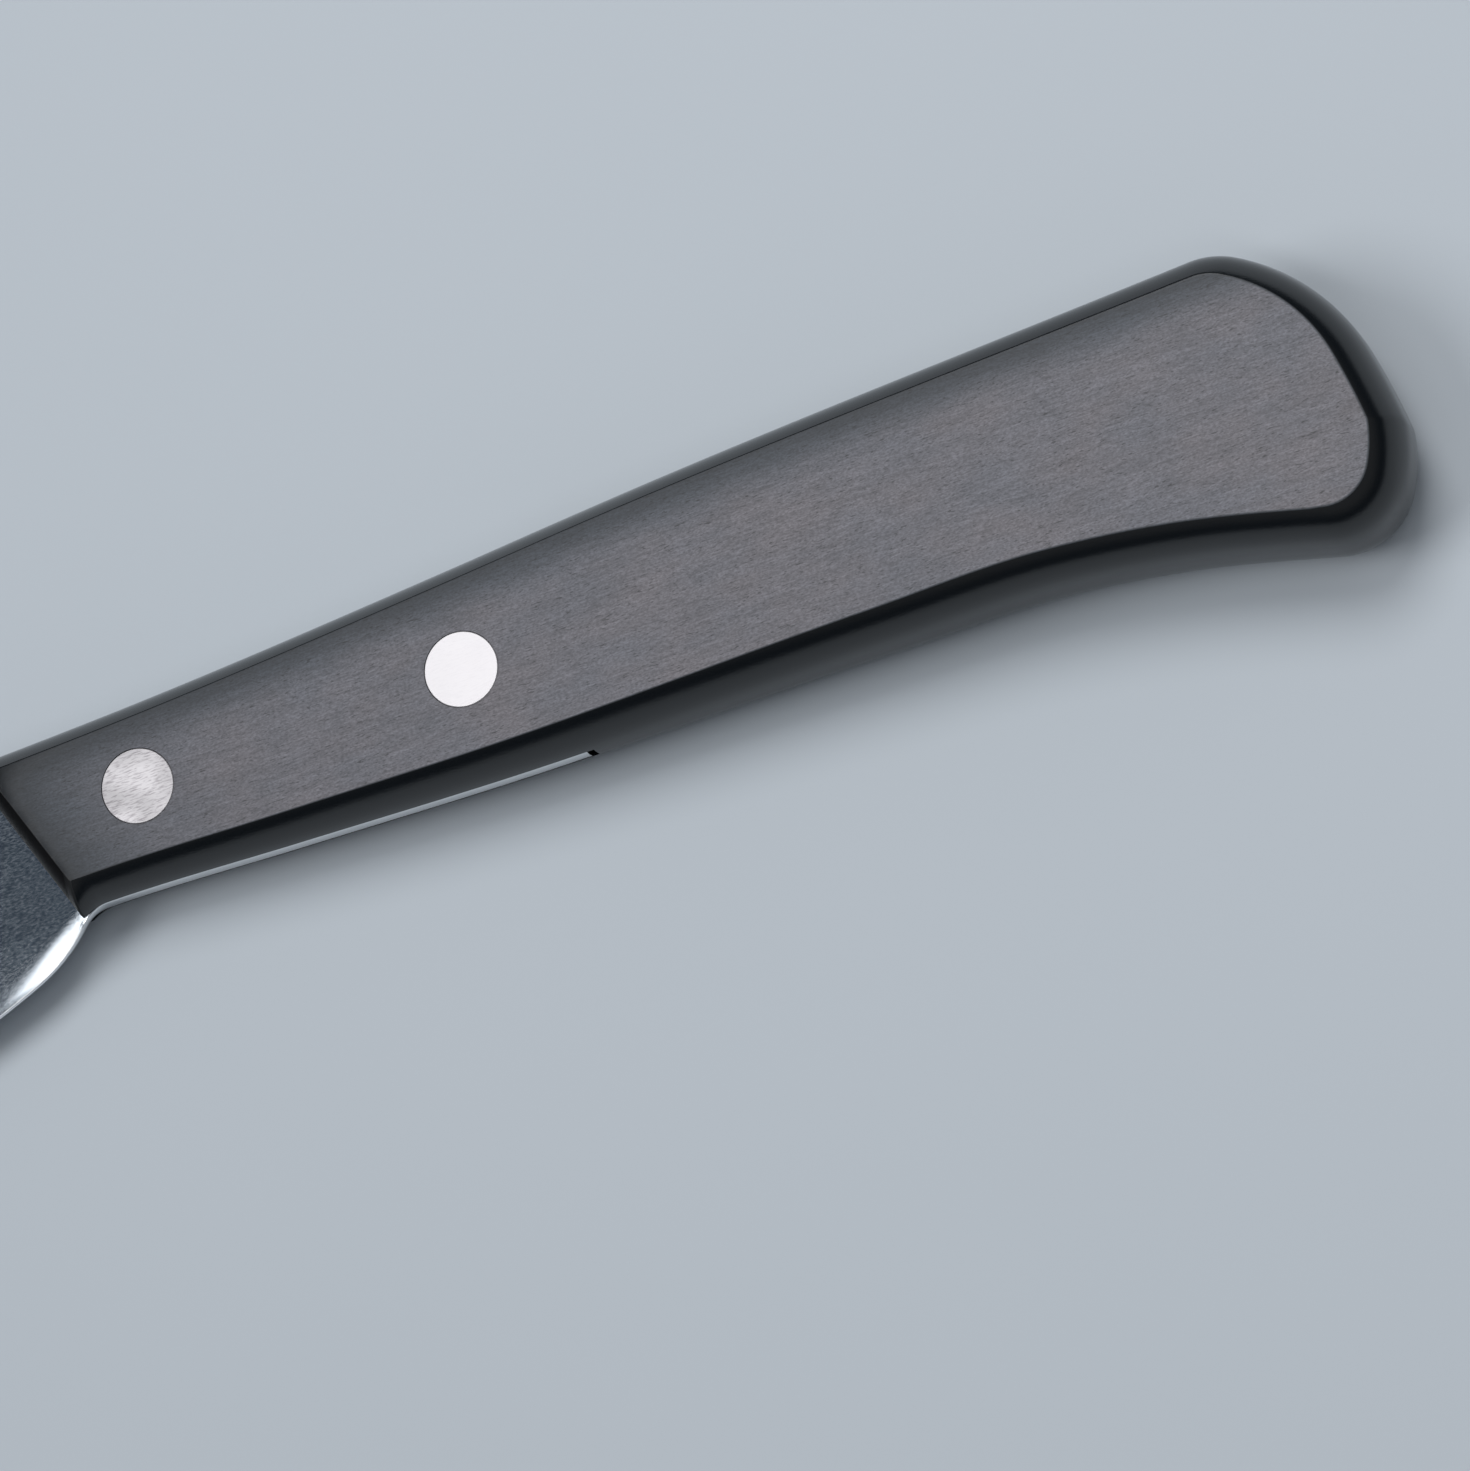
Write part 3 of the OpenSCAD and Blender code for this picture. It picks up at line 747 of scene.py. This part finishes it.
# Sections along the steel, closest at the heel, each closed by its mirror image below mid-plane
heel_start = heel_end[0] - heel_radius / 2
tang_start = neck_at + neck_radius / 2
tip_turn = np.linspace(0, math.pi / 2, tip_rows, endpoint=False)
stations = np.concatenate([
    tip_flat - tip_reach + tip_round * (1 - np.cos(tip_turn)),
    np.linspace(tip_round - tip_reach, heel_start, blade_rows, endpoint=False),
    np.linspace(heel_start, tang_start, heel_rows, endpoint=False),
    np.linspace(tang_start, tang_reach, tang_rows),
])
half = steel_section(stations)
steel_rows = np.concatenate([half, (half * (1, 1, -1))[:, -2:0:-1]], 1)
rows, around = steel_rows.shape[:2]
steel_faces = grid_faces(rows, around, closed=True)
steel_ends = np.stack([np.arange(around), np.arange(around) + around * (rows - 1)])

# The tang's two faces give way to ones with round holes, joined by the walls of the holes
face_starts = arris_steps
tang_faces = np.isin(np.arange(len(steel_faces)) % around, (face_starts, around - face_starts - 1))
tang_faces &= np.arange(len(steel_faces)) // around >= rows - tang_rows
face_edge = half[-tang_rows:, face_starts, :2]
bevel_edge = half[-tang_rows:, face_starts + 1, :2]
tang_xy, tang_triangles = flat_face(np.concatenate([face_edge, bevel_edge[::-1]]), sleeve_rims)
tang_face = np.column_stack([tang_xy, np.full(len(tang_xy), half_tang)])


def hole_wall(rim):
    """Wall of a hole through the tang: its rim carried from one face of the tang to the other."""
    sides = [np.column_stack([rim, np.full(len(rim), z)]) for z in (-half_tang, half_tang)]
    return np.concatenate(sides), grid_faces(2, len(rim), closed=True)


tang_holes = [hole_wall(rim) for rim in sleeve_rims]
steel_parts = mirrored([(tang_face, tang_triangles)])
steel_parts += [
    (steel_rows.reshape(-1, 3), steel_faces[~tang_faces]),
    (steel_rows.reshape(-1, 3), steel_ends),
    *tang_holes,
]

# The polished edge is the arris along the belly and the spreading edge, with what lies beyond it. It is
# painted paler, partly for its polish and partly as a painted highlight.
on_edge = np.arange(half.shape[1]) >= half.shape[1] - arris_steps
around_edge = np.concatenate([on_edge, on_edge[-2:0:-1]])
steel_edge = [np.zeros(len(tang_face))] * 2 + [np.tile(around_edge, rows)] * 2
steel_edge += [np.zeros(len(points)) for points, _ in tang_holes]

# Stainless steel, finely ground: it mirrors the room, blurred and speckled by a short grit, drawn coarser
# than the real one so that it shows. The polished edge of tang and blade is paler, partly for its polish
# and partly as a painted highlight.
ground_steel, tree = new_material("ground_stainless_steel")
grit_length = 0.35
grit_width = 0.12
place = add_node(tree, "TexCoord", {}).outputs["Object"]
stretched = add_node(tree, "Mapping", {
    "Vector": place, "Scale": (1 / (grit_length * mm), 1 / (grit_width * mm), 1 / (grit_width * mm)),
}).outputs["Vector"]
grit = add_node(tree, "TexNoise", {
    "Vector": stretched, "Scale": 1, "Detail": 2, "Roughness": 0.6,
}).outputs["Fac"]
contrast = add_node(tree, "MapRange", {
    "Value": grit, "From Min": 0.35, "From Max": 0.65,
}).outputs["Result"]
face_colour = add_node(tree, "MixRGB", {
    "Fac": contrast, "Color1": linear("#b8c0c8"), "Color2": linear("#d4dbe2"),
}).outputs["Color"]
polish_and_painted_highlight = add_node(tree, "Attribute", {}, attribute_name="polish_and_painted_highlight").outputs["Fac"]
# The edge's near-white is partly its polish and partly a painted highlight
steel_colour = add_node(tree, "MixRGB", {
    "Fac": polish_and_painted_highlight, "Color1": face_colour, "Color2": linear("#f2f3f4"),
}).outputs["Color"]
dull = add_node(tree, "MapRange", {
    "Value": grit, "From Min": 0.35, "From Max": 0.65, "To Min": 0.15, "To Max": 0.22,
}).outputs["Result"]
relief = add_node(tree, "Bump", {
    "Height": grit, "Strength": 0.1, "Distance": 0.001 * mm,
}).outputs["Normal"]
steel_surface = add_node(tree, "BsdfPrincipled", {
    "Base Color": steel_colour, "Metallic": 1, "Roughness": dull, "Normal": relief,
})
add_node(tree, "OutputMaterial", {"Surface": steel_surface.outputs["BSDF"]})

blade_looks = [("polish_and_painted_highlight", np.concatenate(steel_edge))]
blade = add_piece("spreader_blade", steel_parts, ground_steel, blade_looks)
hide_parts("blade_with_tang")
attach(blade, "root")

# Rivets
# Two-piece rivets turned from aluminium: a sleeve with a head is put in from above, a pin with a head is
# driven into it from below, and both heads are sanded flush with the flats.
pin_diameter = 2.3
pin_clearance = 0.01
rivet_end_gap = 0.2
head_chamfer = 0.06
head_points = 96
# The front rivet is streaked all over. The rear one is painted nearly plain and pale, as a painted
# highlight.
rivet_painted_light = (0, 0.9)


def revolved(x, profile):
    """Closed solid of revolution about a rivet's axis at x: a profile of radius, height and how far it
    follows the tilted flat, carried round a circle."""
    radius, height, follows = np.array(profile, float).T[:, :, None]
    turn = 2 * np.pi * np.arange(head_points) / head_points
    px, py = x + radius * np.cos(turn), radius * np.sin(turn)
    pz = height + follows * (half_thickness(px) - half_thickness(x))
    return np.stack([px, py, pz], -1).reshape(-1, 3), grid_faces(len(profile), head_points, closed=True)


# Aluminium, sanded flush together with the wood: pale and soft, with cloudy streaks along the grain,
# strong on the front rivet and faint on the rear one, which is painted paler as a painted highlight. They
# are drawn coarser than the real ones, so that they show.
rivet_aluminium, tree = new_material("sanded_aluminium")
place = add_node(tree, "TexCoord", {}).outputs["Object"]
sanding = {}
for pattern, length, width, detail in (("streaks", 0.7, 0.11, 2), ("clouds", 3.75, 2.5, 1)):
    stretched = add_node(tree, "Mapping", {
        "Vector": place, "Scale": (1 / (length * mm), 1 / (width * mm), 1 / (width * mm)),
    }).outputs["Vector"]
    sanding[pattern] = add_node(tree, "TexNoise", {
        "Vector": stretched, "Scale": 1, "Detail": detail, "Roughness": 0.6,
    }).outputs["Fac"]
# How far each rivet is painted pale and plain, as a painted highlight
bright = add_node(tree, "Attribute", {}, attribute_name="bright").outputs["Fac"]
streak_tone = add_node(tree, "MapRange", {
    "Value": sanding["streaks"], "From Min": 0.3, "From Max": 0.52,
}).outputs["Result"]
streak_colour = add_node(tree, "MixRGB", {
    "Fac": streak_tone, "Color1": linear("#a5a0a4"), "Color2": linear("#d4d1d3"),
}).outputs["Color"]
cloud_tone = add_node(tree, "MapRange", {
    "Value": sanding["clouds"], "From Min": 0.35, "From Max": 0.65, "To Min": 0.84, "To Max": 1.12,
}).outputs["Result"]
worn = add_node(tree, "MixRGB", {
    "Fac": 1, "Color1": streak_colour, "Color2": cloud_tone,
}, blend_type="MULTIPLY").outputs["Color"]
# The rear rivet's pale, plain colour is a painted highlight
rivet_colour = add_node(tree, "MixRGB", {
    "Fac": bright, "Color1": worn, "Color2": linear("#e8e5e7"),
}).outputs["Color"]
relief = add_node(tree, "Bump", {
    "Height": sanding["streaks"], "Strength": 0.15, "Distance": 0.006 * mm,
}).outputs["Normal"]
aluminium_surface = add_node(tree, "BsdfPrincipled", {
    "Base Color": rivet_colour, "Metallic": 1, "Roughness": 0.5, "Normal": relief,
})
add_node(tree, "OutputMaterial", {"Surface": aluminium_surface.outputs["BSDF"]})

head_radius = head_diameter / 2
sleeve_radius = sleeve_diameter / 2
pin_radius = pin_diameter / 2
for name, x, painted_light in zip(("front", "rear"), rivet_places, rivet_painted_light):
    flush = half_thickness(x)
    seat = flush - head_depth
    shank = 2 * seat - rivet_end_gap
    head = [
        (0, flush, 1),
        (head_radius / 2, flush, 1),
        (head_radius - head_chamfer, flush, 1),
        (head_radius, flush - head_chamfer, 1),
        (head_radius, seat, 0),
    ]
    sleeve_profile = head + [
        (sleeve_radius, seat, 0),
        (sleeve_radius, seat - shank, 0),
        (pin_radius + pin_clearance, seat - shank, 0),
        (pin_radius + pin_clearance, seat, 0),
        (0, seat, 0),
    ]
    pin_profile = head + [
        (pin_radius, seat, 0),
        (pin_radius, seat - shank, 0),
        (0, seat - shank, 0),
    ]
    sleeve_part = revolved(x, sleeve_profile)
    pin_points, pin_faces = revolved(x, pin_profile)
    for kind, part in (("sleeve", sleeve_part), ("pin", (pin_points * (1, 1, -1), pin_faces))):
        rivet_looks = [("bright", np.full(len(part[0]), painted_light))]
        rivet = add_piece(f"{name}_rivet_{kind}_piece", [part], rivet_aluminium, rivet_looks)
        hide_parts(f"{name}_rivet_{kind}")
        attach(rivet, "root")

# Floor
# A plain matt table top under the spreader, painted a pale blue grey, faintly cloudy. It lies a hair below
# the lower flat, so that the two don't share a plane.
floor_reach = 4000
floor_drop = 0.02
paint_cloud = 60
painted_board, tree = new_material("pale_matt_paint")
place = add_node(tree, "TexCoord", {}).outputs["Object"]
cloudy = add_node(tree, "TexNoise", {"Vector": place, "Scale": 1 / (paint_cloud * mm), "Detail": 3})
paint = add_node(tree, "MixRGB", {
    "Fac": cloudy.outputs["Fac"], "Color1": linear("#bcc4cb"), "Color2": linear("#bfc6cd"),
}).outputs["Color"]
board_surface = add_node(tree, "BsdfPrincipled", {
    "Base Color": paint, "Roughness": 0.7, "Specular IOR Level": 0.2,
})
add_node(tree, "OutputMaterial", {"Surface": board_surface.outputs["BSDF"]})
floor_mesh = bpy.data.meshes.new("table_top")
floor_signs = np.array([(-1, -1), (1, -1), (1, 1), (-1, 1)])
floor_corners = np.column_stack([floor_signs * floor_reach, np.full(len(floor_signs), -floor_drop)]) * mm
floor_mesh.from_pydata(floor_corners.tolist(), [], [(0, 1, 2, 3)])
floor_mesh.materials.append(painted_board)
floor = bpy.data.objects.new("table_top", floor_mesh)
bpy.context.scene.collection.objects.link(floor)
floor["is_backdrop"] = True

# Light
# A round softbox over the spine side, softer light from beyond the tip and the butt, and a strip light by
# the camera, which the heel's bevel mirrors as a bright crescent. The room is dim and bluish, with paler
# walls. Lengths are in metres.
camera_aim = Vector((0.031222, -0.009698, 0))
softbox_way = Vector((0.12, 0.45, 0.88)).normalized()
softbox_distance = 0.5
softbox_width = 0.26
strip_way = Vector((-0.041, -0.332, 0.943)).normalized()
strip_distance = 0.805
strip_length = 0.54
strip_width = 0.12
strip_turn = math.radians(-28.5)


def add_light(name, kind, toward, strength):
    """Lamp of a kind and strength that shines on the spreader from a direction."""
    lamp = bpy.data.lights.new(name, kind)
    lamp.energy = strength
    light = bpy.data.objects.new(name, lamp)
    light.rotation_mode = "QUATERNION"
    light.rotation_quaternion = Vector(toward).to_track_quat("Z", "Y")
    bpy.context.scene.collection.objects.link(light)
    return light


softbox = add_light("spine_side_softbox", "AREA", softbox_way, 1.07)
softbox.data.shape = "DISK"
softbox.data.size = softbox_width
softbox.location = camera_aim + softbox_way * softbox_distance
add_light("tip_side_softbox", "SUN", (-0.68, 0.03, 0.73), 1.07).data.angle = math.radians(28)
add_light("butt_side_fill", "SUN", (0.45, 0.1, 0.887), 0.28).data.angle = math.radians(40)
strip = add_light("strip_light_by_camera", "AREA", strip_way, 0.66)
strip.rotation_quaternion = strip.rotation_quaternion @ Quaternion((0, 0, 1), strip_turn)
strip.data.shape = "RECTANGLE"
strip.data.size = strip_length
strip.data.size_y = strip_width
strip.location = camera_aim + strip_way * strip_distance

# The walls are paler between two heights, given as sines of the angle over the floor
room = bpy.data.worlds.new("dim_room")
room.use_nodes = True
tree = room.node_tree
tree.nodes.clear()
way = add_node(tree, "TexCoord", {}).outputs["Object"]
height = add_node(tree, "SeparateXYZ", {"Vector": way}).outputs["Z"]
over_floor = add_node(tree, "MapRange", {
    "Value": height, "From Min": 0.12, "From Max": 0.4,
}, interpolation_type="SMOOTHSTEP").outputs["Result"]
under_ceiling = add_node(tree, "MapRange", {
    "Value": height, "From Min": 0.85, "From Max": 0.6,
}, interpolation_type="SMOOTHSTEP").outputs["Result"]
on_walls = add_node(tree, "Math", {0: over_floor, 1: under_ceiling}, operation="MULTIPLY").outputs["Value"]
room_colour = add_node(tree, "MixRGB", {
    "Fac": on_walls, "Color1": linear("#303b47"), "Color2": linear("#7f8286"),
}).outputs["Color"]
room_light = add_node(tree, "Background", {"Color": room_colour})
add_node(tree, "OutputWorld", {"Surface": room_light.outputs["Background"]})
bpy.context.scene.world = room
bpy.context.scene.view_settings.view_transform = "Standard"

# Camera
# It looks steeply down at the handle through a long lens, and is rolled so that the handle rises to the
# right. Its distance is in metres, and its lens follows from the height of the picture in pixels.
camera_distance = 0.621225
camera_azimuth = math.radians(35.272)
camera_elevation = math.radians(71.164)
camera_roll = math.radians(-52.844)
photo_height = 1471
focal_pixels = 8000
camera_data = bpy.data.cameras.new("camera")
camera_data.sensor_width = 36
camera_data.lens = camera_data.sensor_width * focal_pixels / photo_height
camera = bpy.data.objects.new("camera", camera_data)
back = Vector((
    math.cos(camera_elevation) * math.sin(camera_azimuth),
    -math.cos(camera_elevation) * math.cos(camera_azimuth),
    math.sin(camera_elevation),
))
camera.location = camera_aim + back * camera_distance
camera.rotation_mode = "QUATERNION"
camera.rotation_quaternion = back.to_track_quat("Z", "Y") @ Quaternion((0, 0, 1), camera_roll)
bpy.context.scene.collection.objects.link(camera)
bpy.context.scene.camera = camera

low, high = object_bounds()
